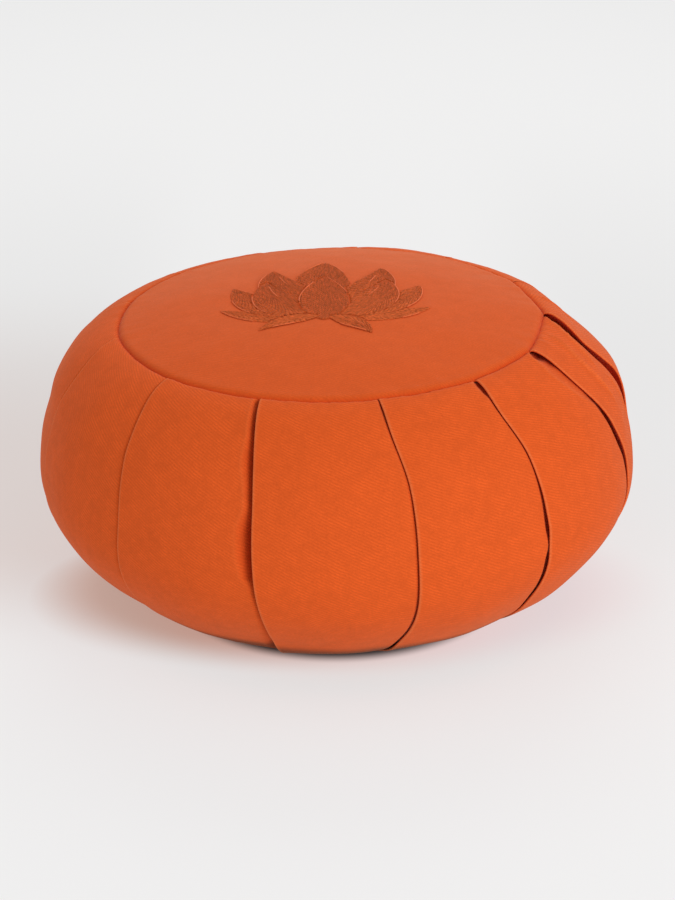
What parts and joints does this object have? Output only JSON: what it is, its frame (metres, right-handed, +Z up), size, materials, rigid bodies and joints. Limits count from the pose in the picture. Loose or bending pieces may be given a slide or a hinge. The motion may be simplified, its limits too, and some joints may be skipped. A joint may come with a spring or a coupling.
{
  "type": "zafu meditation cushion",
  "caption": "Round meditation cushion with two flat round panels and a full side band of knife pleats, firmly filled, to sit on the floor.",
  "frame": {"origin": "centre of the underside, on the floor", "axes": "+Z up through the crown, -Y towards the front, +X to the right as seen from the front"},
  "size_m": [0.361, 0.3606, 0.1911],
  "materials": {
    "pleated_band": "matt cotton twill",
    "top_panel": "matt cotton twill, embroidered",
    "bottom_panel": "matt cotton twill"
  },
  "bodies": {
    "root": {"pleated_band": "pleated_band", "top_panel": "top_panel", "bottom_panel": "bottom_panel"}
  },
  "joints": []
}
